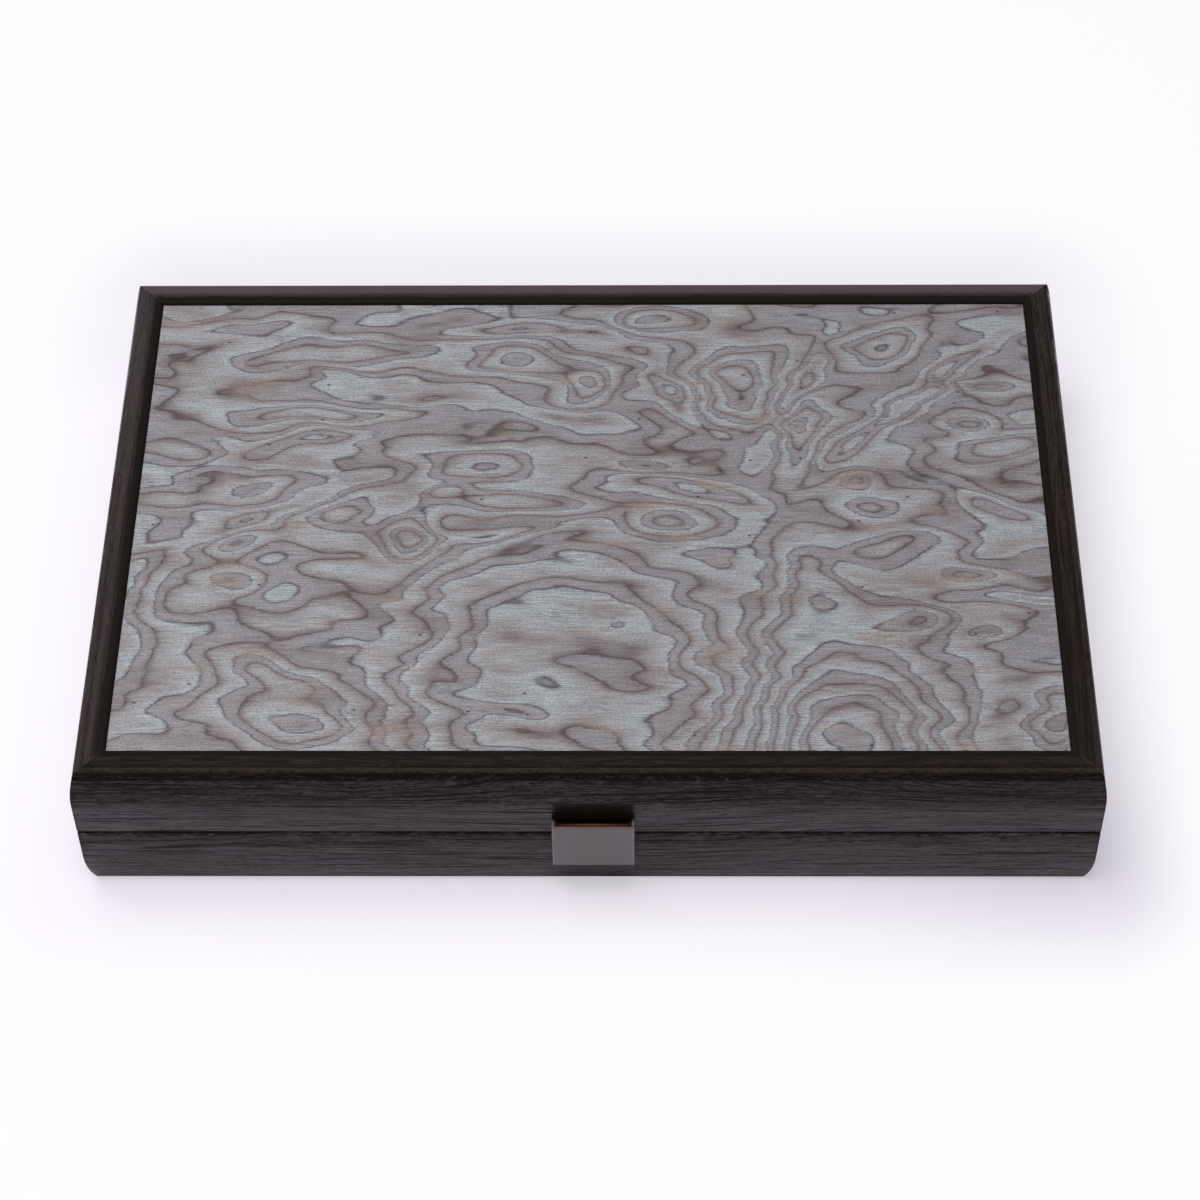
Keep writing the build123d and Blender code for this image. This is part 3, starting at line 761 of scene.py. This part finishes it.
def cut_away(piece, cutter, name):
    """Cuts the shape of the cutter out of a piece, and deletes the cutter."""
    only(piece)
    cut = piece.modifiers.new(name, "BOOLEAN")
    cut.operation = "DIFFERENCE"
    cut.object = cutter
    bpy.ops.object.modifier_apply(modifier=cut.name)
    bpy.data.objects.remove(cutter)


def copies(piece, offsets):
    """Copies of a piece, each with its own mesh, moved by each offset and joined."""
    row = []
    for offset in offsets:
        only(piece)
        bpy.ops.object.duplicate_move(TRANSFORM_OT_translate={"value": offset})
        row.append(bpy.context.object)
    joined = join(row)
    bpy.ops.object.transform_apply(location=True, rotation=True, scale=True)
    return joined


def middle_of(node):
    """The middle and the size of a frame piece's box."""
    low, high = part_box(node)
    return (Vector(low) + Vector(high)) / 2, Vector(high) - Vector(low)


print("the doubling cube's middle:", [round(value, 4) for value in middle_of("doubling_cube")[0]])

# %% [markdown]
# A checker is turned on a lathe: a disc with an eased rim, a raised ring and a shallow dish
# for the fingertip on both faces. It could be spun from a profile, but a cylinder's two ends
# inset step by step give the same steps with less to draw. One disc is made, stood on its
# edge as it lies in the rack, and copied along it.

# %% Turn one checker
CHECKER_RADIUS, CHECKER_THICKNESS, CHECKER_EASING = 15 * MM, 9 * MM, 1.1 * MM
FACE_STEPS = ((1.6, 0), (0.5, -0.5), (3.2, -0.1), (0.4, 0.35), (3.6, -0.2))

bpy.ops.object.select_all(action="DESELECT")
bpy.ops.mesh.primitive_cylinder_add(vertices=40, radius=CHECKER_RADIUS, depth=CHECKER_THICKNESS,
                                    rotation=(0, math.pi / 2, 0))
checker = bpy.context.object
bpy.ops.object.mode_set(mode="EDIT")
choose("edges", lambda edge, middle: abs(middle.z) > CHECKER_THICKNESS * 0.49)
bpy.ops.mesh.bevel(offset=CHECKER_EASING, segments=3)
choose("faces", lambda face, middle: abs(face.normal.z) > 0.99)
for step_in, step_up in FACE_STEPS:
    bpy.ops.mesh.inset(thickness=step_in * MM, depth=step_up * MM, use_individual=True)
bpy.ops.object.mode_set(mode="OBJECT")
settle(checker, "checker", None)
print("faces in a checker:", len(checker.data.polygons))

# %% [markdown]
# The fifteen checkers of each colour stand in the rack of the base and lie against each other
# like coins. An Array modifier would also repeat them, but plain copies, joined into one row,
# keep each disc's own closed mesh and need no modifier at the end.

# %% Stand the checkers in the rack
CHECKER_PITCH, CHECKER_COUNT = 9.1 * MM, 15


def rack_row(name, node, material):
    """A row of checkers that stands where the frame's row does."""
    centre, _ = middle_of(node)
    first = centre.x - CHECKER_PITCH * (CHECKER_COUNT - 1) / 2
    offsets = [(first + CHECKER_PITCH * i, centre.y, centre.z) for i in range(CHECKER_COUNT)]
    row = copies(checker, offsets)
    settle(row, name, material)
    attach(row, "base")
    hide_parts(node)
    return row


dark_row = rack_row("dark_checkers_turned", "dark_checkers", dark_checker)
light_row = rack_row("light_checkers_turned", "light_checkers", light_checker)
bpy.data.objects.remove(checker)

# %% [markdown]
# A die is a cube with rounded edges and painted dimples, and its opposite faces add up to
# seven. The pips could be dots of colour, but dimples catch the light, so they are cut with
# small balls by a Boolean modifier. The balls carry the paint as their material, and the cut
# keeps it, so the paint ends exactly at each rim.

# %% A rounded block, and where its dimples go
DIE_SIZE, DIE_ROUNDING = 13 * MM, 1.5 * MM
PIP_STEP, BALL_RADIUS, BALL_RISE = 3.3 * MM, 1.5 * MM, 0.6 * MM
PIPS = {1: [(0, 0)], 2: [(-1, -1), (1, 1)], 3: [(-1, -1), (0, 0), (1, 1)],
        4: [(-1, -1), (-1, 1), (1, -1), (1, 1)], 5: [(-1, -1), (-1, 1), (1, -1), (1, 1), (0, 0)],
        6: [(-1, -1), (-1, 0), (-1, 1), (1, -1), (1, 0), (1, 1)]}
FACES = {1: (0, 0, 1), 6: (0, 0, -1), 2: (0, -1, 0), 5: (0, 1, 0), 3: (1, 0, 0), 4: (-1, 0, 0)}


def rounded_block(size, radius):
    """A cube with rounded edges, around the origin."""
    bpy.ops.object.select_all(action="DESELECT")
    bpy.ops.mesh.primitive_cube_add(size=size)
    block = bpy.context.object
    bevel = block.modifiers.new("rounding", "BEVEL")
    bevel.width = radius
    bevel.segments = 4
    bpy.ops.object.modifier_apply(modifier=bevel.name)
    return block


def pip_balls():
    """The balls that cut a die's dimples, joined into one piece."""
    spots = []
    for number, normal in FACES.items():
        normal = Vector(normal)
        side = Vector((normal.y, normal.z, normal.x))
        rise = normal.cross(side)
        for across, along in PIPS[number]:
            spots.append(normal * (DIE_SIZE / 2 + BALL_RISE) + (side * across + rise * along) * PIP_STEP)
    bpy.ops.object.select_all(action="DESELECT")
    bpy.ops.mesh.primitive_uv_sphere_add(segments=16, ring_count=8, radius=BALL_RADIUS)
    ball = bpy.context.object
    balls = copies(ball, spots)
    bpy.data.objects.remove(ball)
    return balls


print("dimples on a die:", sum(len(places) for places in PIPS.values()))

# %% [markdown]
# The two dice of a pair lie loose in the rack and show different numbers on top. Each could be
# cut by itself, but they are the same die, so it is cut once and only its copies are turned.

# %% Cut the dice and lay them in the rack
def cut_die(body, paint):
    """A die of one finish, with dimples of another."""
    cutter = pip_balls()
    die = rounded_block(DIE_SIZE, DIE_ROUNDING)
    for piece, index in ((die, 0), (cutter, 1)):
        piece.data.materials.clear()
        piece.data.materials.append(body)
        piece.data.materials.append(paint)
        piece.data.polygons.foreach_set("material_index", [index] * len(piece.data.polygons))
    cut_away(die, cutter, "dimples")
    return die


def dice_pair(name, node, body, paint):
    """Two dice that lie where the frame's pair does, turned to different numbers."""
    centre, size = middle_of(node)
    gap = size.x - 2 * DIE_SIZE
    model = cut_die(body, paint)
    pair = []
    for place, turn in ((-1, (0, 0, math.pi / 2)), (1, (math.pi / 2, 0, 0))):
        only(model)
        bpy.ops.object.duplicate()
        die = bpy.context.object
        die.rotation_euler = turn
        die.location = centre + Vector((place * (DIE_SIZE + gap) / 2, 0, 0))
        settle(die, name, None)
        pair.append(die)
    bpy.data.objects.remove(model)
    both = join(pair)
    both.name = name
    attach(both, "base")
    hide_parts(node)
    print(name, "faces:", len(both.data.polygons))


dice_pair("dark_dice_cut", "dark_dice", dark_die, white_paint)
dice_pair("light_dice_cut", "light_dice", light_die, black_paint)

# %% [markdown]
# The doubling cube keeps the stake, and shows 2, 4, 8, 16, 32 and 64. Its numerals stand a
# hair proud of the faces. They are text turned into a mesh, which keeps their curves clean,
# where a Boolean cut of letters often leaves ragged corners.

# %% Number the doubling cube
CUBE_SIZE, CUBE_ROUNDING = 22 * MM, 2.4 * MM
NUMERAL_HEIGHT, NUMERAL_HALF_DEPTH, NUMERAL_SUNK = 14 * MM, 0.08 * MM, 0.03 * MM
CUBE_FACES = {"2": (0, 0, 1), "4": (1, 0, 0), "8": (0, -1, 0),
              "16": (0, 1, 0), "32": (-1, 0, 0), "64": (0, 0, -1)}

centre, _ = middle_of("doubling_cube")
cube = rounded_block(CUBE_SIZE, CUBE_ROUNDING)
cube.location = centre
settle(cube, "doubling_cube_rounded", light_die)
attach(cube, "base")
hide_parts("doubling_cube")

numerals = []
for word, normal in CUBE_FACES.items():
    bpy.ops.object.select_all(action="DESELECT")
    bpy.ops.object.text_add()
    text = bpy.context.object
    text.data.body = word
    text.data.size = NUMERAL_HEIGHT
    text.data.extrude = NUMERAL_HALF_DEPTH
    text.data.resolution_u = 4
    text.data.align_x = "CENTER"
    text.data.align_y = "CENTER"
    bpy.ops.object.convert(target="MESH")
    text = bpy.context.object
    normal = Vector(normal)
    rise = Vector((0, 0, 1)) if normal.z == 0 else Vector((0, normal.z, 0))
    turned = Matrix((rise.cross(normal), rise, normal)).transposed()
    text.rotation_euler = turned.to_euler()
    text.location = centre + normal * (CUBE_SIZE / 2 - NUMERAL_SUNK)
    numerals.append(text)
numbers = join(numerals)
settle(numbers, "doubling_cube_numerals", black_paint)
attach(numbers, "base")
print("faces in the numerals:", len(numbers.data.polygons))

# %% [markdown]
# Small countersunk screws hold the hinges and the clasp. They could be spun from a profile, but
# a short cylinder whose end face is extruded and widened into the head needs less drawing.
# The cross recess is cut by two tapered blades. In edit mode a blade still measures 1 each
# way, because its scale lies on the object. The shank stays plain, since it is buried in the
# rail.

# %% Make a countersunk screw
LAND, RECESS_MARGIN = 0.1 * MM, 0.15 * MM
BLADE_WIDTH, BLADE_THICKNESS, BLADE_HEIGHT = 1.3, 0.26, 1.1
UNIT_BLADE_END, BLADE_TAPER = -0.4, (0.4, 0.7, 1)


def screw(head, shank, length):
    """A screw that points down from its head's top face at the origin."""
    flare = head - shank
    bpy.ops.object.select_all(action="DESELECT")
    bpy.ops.mesh.primitive_cylinder_add(vertices=24, radius=shank, depth=length - flare,
                                        location=(0, 0, -(length + flare) / 2))
    body = bpy.context.object
    bpy.ops.object.transform_apply(location=True, rotation=True, scale=True)
    bpy.ops.object.mode_set(mode="EDIT")
    choose("faces", lambda face, middle: face.normal.z > 0.9)
    bpy.ops.mesh.extrude_region_move(TRANSFORM_OT_translate={"value": (0, 0, flare - LAND)})
    wider = head / shank
    bpy.ops.transform.resize(value=(wider, wider, 1), center_override=(0, 0, 0))
    bpy.ops.mesh.extrude_region_move(TRANSFORM_OT_translate={"value": (0, 0, LAND)})
    bpy.ops.mesh.inset(thickness=RECESS_MARGIN, depth=0)
    bpy.ops.object.mode_set(mode="OBJECT")
    for turn in (0, math.pi / 2):
        bpy.ops.object.select_all(action="DESELECT")
        scale = [head * part for part in (BLADE_WIDTH, BLADE_THICKNESS, BLADE_HEIGHT)]
        bpy.ops.mesh.primitive_cube_add(size=1, location=(0, 0, 0), rotation=(0, 0, turn), scale=scale)
        blade = bpy.context.object
        bpy.ops.object.mode_set(mode="EDIT")
        choose("faces", lambda face, middle: middle.z < UNIT_BLADE_END)
        bpy.ops.transform.resize(value=BLADE_TAPER)
        bpy.ops.object.mode_set(mode="OBJECT")
        cut_away(body, blade, "recess")
    return body


print("a blade in head radii:", BLADE_WIDTH, "wide,", BLADE_THICKNESS, "thick,", BLADE_HEIGHT, "high")

# %% [markdown]
# The screws' heads lie flush with the leaf or plate that they hold, at the places of the
# frame's own screws. Those have twelve flat sides and no recess, and are replaced.

# %% Drive the screws
def screws(name, node, body, sizes, places, turn):
    """Screws with their heads' top faces at the given places, turned to point into the rail."""
    model = screw(*(value * MM for value in sizes))
    model.rotation_euler = turn
    settle(model, name, None)
    both = copies(model, [[value * MM for value in place] for place in places])
    bpy.data.objects.remove(model)
    settle(both, name, screw_steel)
    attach(both, body)
    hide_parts(node)
    print(name, len(places), "screws,", len(both.data.polygons), "faces")


HINGE_SPREAD, HOLE_PITCH, HINGE_SCREW_Y, LEAF_SUNK = 110, 16, 121.5, 0.05
HINGE_PLACES = [(side * HINGE_SPREAD + hole * HOLE_PITCH, HINGE_SCREW_Y)
                for side in (-1, 1) for hole in (-1, 0, 1)]
CLASP_PLACES, MOUNT_SCREW_Z, KEEPER_SCREW_Z = [(-7, -128), (11, -128)], 38.2, 17
HINGE_SIZES, CLASP_SIZES = (2.0, 1.1, 9.0), (1.7, 1.0, 9.0)
screws("base_hinge_screws_cut", "base_hinge_screws", "base", HINGE_SIZES,
       [(*place, PARTING - LEAF_SUNK) for place in HINGE_PLACES], (0, 0, 0))
screws("lid_hinge_screws_cut", "lid_hinge_screws", "lid", HINGE_SIZES,
       [(*place, PARTING + LEAF_SUNK) for place in HINGE_PLACES], (math.pi, 0, 0))
screws("clasp_mount_screws_cut", "clasp_mount_screws", "lid", CLASP_SIZES,
       [(*place, MOUNT_SCREW_Z) for place in CLASP_PLACES], (math.pi / 2, 0, 0))
screws("clasp_keeper_screws_cut", "clasp_keeper_screws", "base", CLASP_SIZES,
       [(*place, KEEPER_SCREW_Z) for place in CLASP_PLACES], (math.pi / 2, 0, 0))

# %% [markdown]
# The rest of the solids keep their meshes and only take a finish. Both halves are built
# alike, so one loop dresses them, and a finish could be changed here in a single place. The
# rack dividers are cut from the same foiled board as the rails in front.

# %% Put the finishes on
def dress(material, *names):
    """Gives frame pieces a finish in place of what they had."""
    for name in names:
        piece = nodes[name]
        piece.data.materials.clear()
        piece.data.materials.append(material)


for half in ("base", "lid"):
    dress(ash_along_x, f"{half}_front_rail", f"{half}_back_rail")
    dress(ash_along_y, f"{half}_left_rail", f"{half}_right_rail")
    dress(core_board, f"{half}_panel")
    dress(field_veneer, f"{half}_field_veneer")
    dress(dark_inlay, f"{half}_dark_points")
    dress(light_inlay, f"{half}_light_points")
    dress(plywood, f"{half}_corner_keys")
    dress(ash_along_x, f"{half}_rack_divider")
    dress(hinge_steel, f"{half}_hinge_leaves")
dress(burl_lid, "lid_outer_veneer")
dress(burl_base, "base_outer_veneer")
dress(gunmetal, "clasp_flap")
dress(mount_plate, "clasp_mount")
dress(pin_plate, "clasp_pin")
dress(keeper_plate, "clasp_keeper")
dress(spring_steel, "clasp_tongue")
dress(hinge_steel, "hinge_pins")
in_use = {slot.material.name for piece in nodes.values() for slot in piece.material_slots}
print("finishes in use:", len(in_use))

# %% [markdown]
# The case stands on a white sweep under one big soft light, a little left of it and in front,
# where its mirror image misses the lid. A part of the floor glows for the camera alone, which
# turns the paper white and still keeps the shadow. A brighter lamp would do it too, but would
# wash out the veneer. The room is bright and faintly lilac low down, and dim overhead and
# behind the camera, so the shadows hug the case and take a lilac tint. Near the case the glow
# is painted a little darker and lilac, and painted shadows darken it to the right of the case
# and behind it.

# %% Floor
FLOOR_SIZE, FLOOR_DROP, HALF_FOOTPRINT = 8.0, 0.05 * MM, (0.19, 0.127, 0)
PAPER, GLOW_FAR = (0.85, 0.80, 0.90, 1), (1.0, 1.0, 1.0, 1)
# GLOW_NEAR and GLOW_SHADE are painted shade: the glow's lilac dimming near the case and its painted
# shadows.
GLOW_NEAR, GLOW_SHADE = (0.94, 0.91, 0.98, 1), (0.70, 0.68, 0.76, 1)

bpy.ops.object.select_all(action="DESELECT")
bpy.ops.mesh.primitive_plane_add(size=FLOOR_SIZE, location=(0, 0, solid_box[0][2] - FLOOR_DROP))
floor = bpy.context.object
floor.name = "floor"
floor_material = bpy.data.materials.new("paper_floor")
floor_material.use_nodes = True
tree = floor_material.node_tree
paper = tree.nodes["Principled BSDF"]
set_finish(paper, Base_Color=PAPER, Roughness=0.9, Specular_IOR_Level=0.0)

place = Wire(tree.nodes.new("ShaderNodeTexCoord").outputs["Object"])
beyond = place.vector("ABSOLUTE", place)
beyond = beyond.vector("SUBTRACT", beyond, HALF_FOOTPRINT)
beyond = beyond.vector("MAXIMUM", beyond, (0, 0, 0))
away = beyond.vector("LENGTH", beyond, out=1)
near = between(away, 0.05, 0.0)
across, back, _ = split(place)
# Painted shadows: right_shade and back_shade darken the glow toward GLOW_SHADE to the right of the case
# and behind it.
right_shade = between(across * 0.6 - back, 0.12, 0.26) * between(across, 0.05, 0.2) * near
back_shade = between(back, 0.10, 0.16) * between(away, 0.12, 0.06) * between(abs(across), 0.26, 0.17)
glow_and_painted_shade = ramp(near, [(0.0, GLOW_FAR), (1.0, GLOW_NEAR)])
glow_and_painted_shade = mix((right_shade + back_shade * 0.8) * 0.7, glow_and_painted_shade, GLOW_SHADE)

glow = tree.nodes.new("ShaderNodeEmission")
set_finish(glow, Color=glow_and_painted_shade)
seen = Wire(tree.nodes.new("ShaderNodeLightPath").outputs["Is Camera Ray"])
shaders = {0: seen * (0.84 - near * 0.32), 1: Wire(paper.outputs[0]), 2: Wire(glow.outputs[0])}
blend = seen.node("ShaderNodeMixShader", None, shaders)
tree.links.new(blend.socket, tree.nodes["Material Output"].inputs["Surface"])
floor.data.materials.append(floor_material)
print("floor at z =", round(floor.location.z, 5))

# %% [markdown]
# The room's colour is read from the direction in which a ray leaves. A picture of a real studio
# could light the case too, but a few bands of plain colour are easier to set and to read. The
# camera sees white in their place.

# %% Room and lamp
LOW_ROOM, WALL, HIGH_WALL = (0.66, 0.62, 0.70, 1), (0.68, 0.64, 0.70, 1), (0.84, 0.80, 0.84, 1)
CEILING, BEHIND_CAMERA = (0.10, 0.09, 0.10, 1), (0.06, 0.055, 0.06, 1)
LAMP_PLACE, LAMP_SIZE, LAMP_WATTS = Vector((-0.25, -0.15, 1.5)), (1.5, 0.8), 25

world = bpy.data.worlds.new("studio")
bpy.context.scene.world = world
world.use_nodes = True
sky = world.node_tree
sideways, backward, rise = split(Wire(sky.nodes.new("ShaderNodeTexCoord").outputs["Generated"]))
room = ramp(rise, [(0.0, LOW_ROOM), (0.58, WALL), (0.70, HIGH_WALL), (0.79, CEILING)])
room = mix(between(backward * 0.85 - sideways * 0.5, 0.1, -0.8) * 0.92, room, BEHIND_CAMERA)
seen = Wire(sky.nodes.new("ShaderNodeLightPath").outputs["Is Camera Ray"])
room = mix(seen, room, (1.0, 1.0, 1.0, 1))
set_finish(sky.nodes["Background"], Color=room)

lamp_data = bpy.data.lights.new("overhead_softbox", "AREA")
lamp_data.shape = "RECTANGLE"
lamp_data.size, lamp_data.size_y = LAMP_SIZE
lamp_data.energy = LAMP_WATTS
lamp_data.color = (1.0, 1.0, 0.98)
lamp = bpy.data.objects.new("overhead_softbox", lamp_data)
lamp.location = LAMP_PLACE
lamp.rotation_euler = (-LAMP_PLACE).to_track_quat("-Z", "Y").to_euler()
bpy.context.scene.collection.objects.link(lamp)
bpy.context.scene.view_settings.view_transform = "Standard"
print("lamp at", [round(value, 2) for value in lamp.location], "with", LAMP_WATTS, "watts")

# %% [markdown]
# Dressing must not change what the piece measures. The box of the bare solids was taken at the start.
